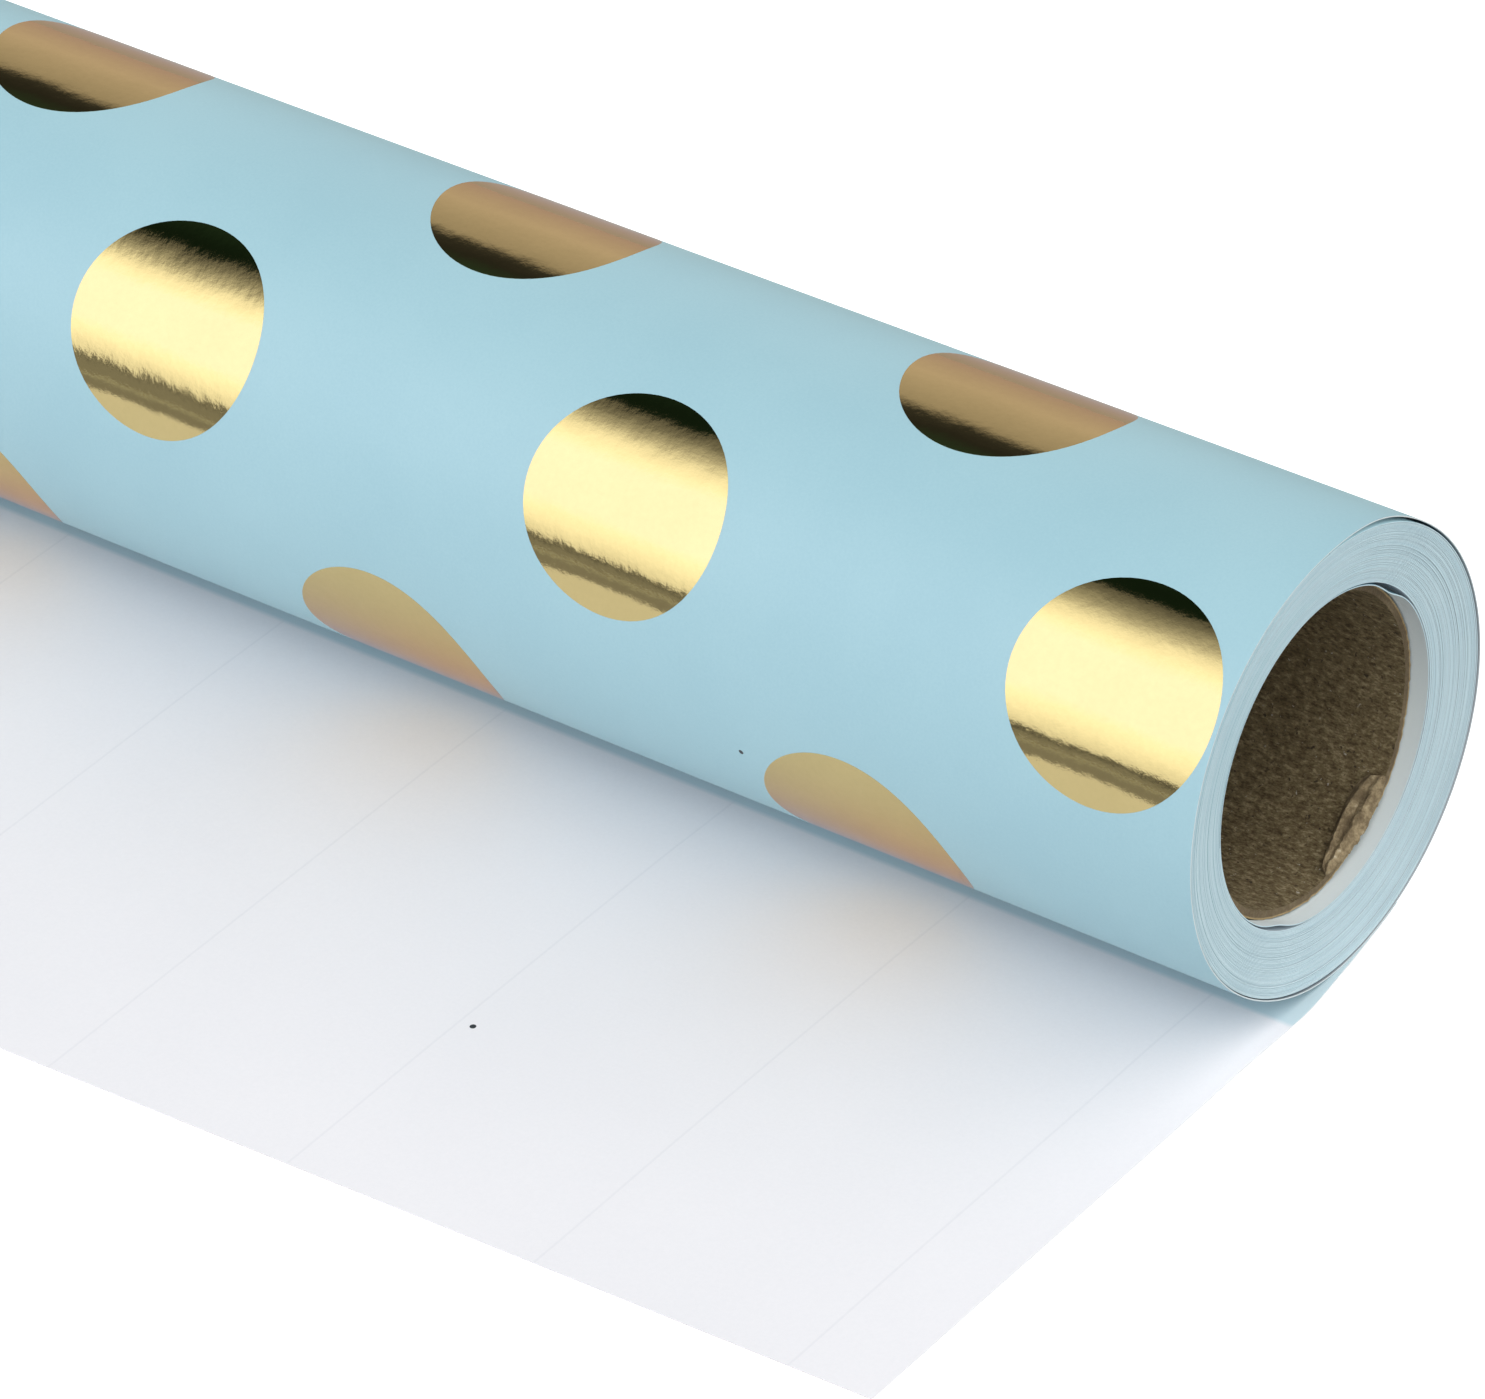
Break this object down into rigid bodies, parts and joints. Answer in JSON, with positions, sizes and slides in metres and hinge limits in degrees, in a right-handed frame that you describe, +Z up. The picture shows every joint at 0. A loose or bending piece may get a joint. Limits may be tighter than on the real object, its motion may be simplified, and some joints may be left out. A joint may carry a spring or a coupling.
{
  "type": "wrapping paper roll",
  "caption": "Roll of printed gift wrap with foil dots wound on a board core, lying on its side with the free end of the web pulled out flat.",
  "frame": {"origin": "on the surface the sheet lies on, under the roll's axis, at mid length of the roll", "axes": "+X along the roll's axis towards the end whose web edge stands proud, +Y the way the roll travels as it pays the sheet out, +Z up"},
  "size_m": [0.7641, 0.1172, 0.043],
  "materials": {
    "core_board": "matte",
    "tape": "satin",
    "printed_paper": "semi-matte coated",
    "sheet_back": "matte uncoated",
    "gold_foil": "mirror"
  },
  "bodies": {
    "sheet": {"free_sheet": "sheet_back", "foil_row_sheet_1": "gold_foil", "foil_row_sheet_2": "gold_foil", "foil_row_sheet_3": "gold_foil", "foil_row_sheet_4": "gold_foil"},
    "nip": {"lead_off": "sheet_back"},
    "roll": {"core_inner_ply": "core_board", "core_middle_ply": "core_board", "core_outer_ply": "core_board", "start_tape": "tape", "innermost_turn": "printed_paper", "inner_wind": "printed_paper", "middle_wind": "printed_paper", "outer_wind": "printed_paper", "outermost_turn": "printed_paper", "foil_row_roll_1": "gold_foil", "foil_row_roll_2": "gold_foil", "foil_row_roll_3": "gold_foil", "foil_row_roll_4": "gold_foil", "foil_row_roll_5": "gold_foil"}
  },
  "joints": [
    {"name": "roll_travel", "type": "slide", "parent": "sheet", "child": "nip", "axis": [0, 1, 0], "range_m": [-0.03, 0.134]},
    {"name": "roll_spin", "type": "hinge", "parent": "nip", "child": "roll", "pos_m": [0, 0, 0.02165], "axis": [1, 0, 0], "range_deg": [-362, 82]}
  ],
  "couplings": [
    {"joint": "roll_spin", "follows": "roll_travel", "rad_per_m": -46.948}
  ]
}
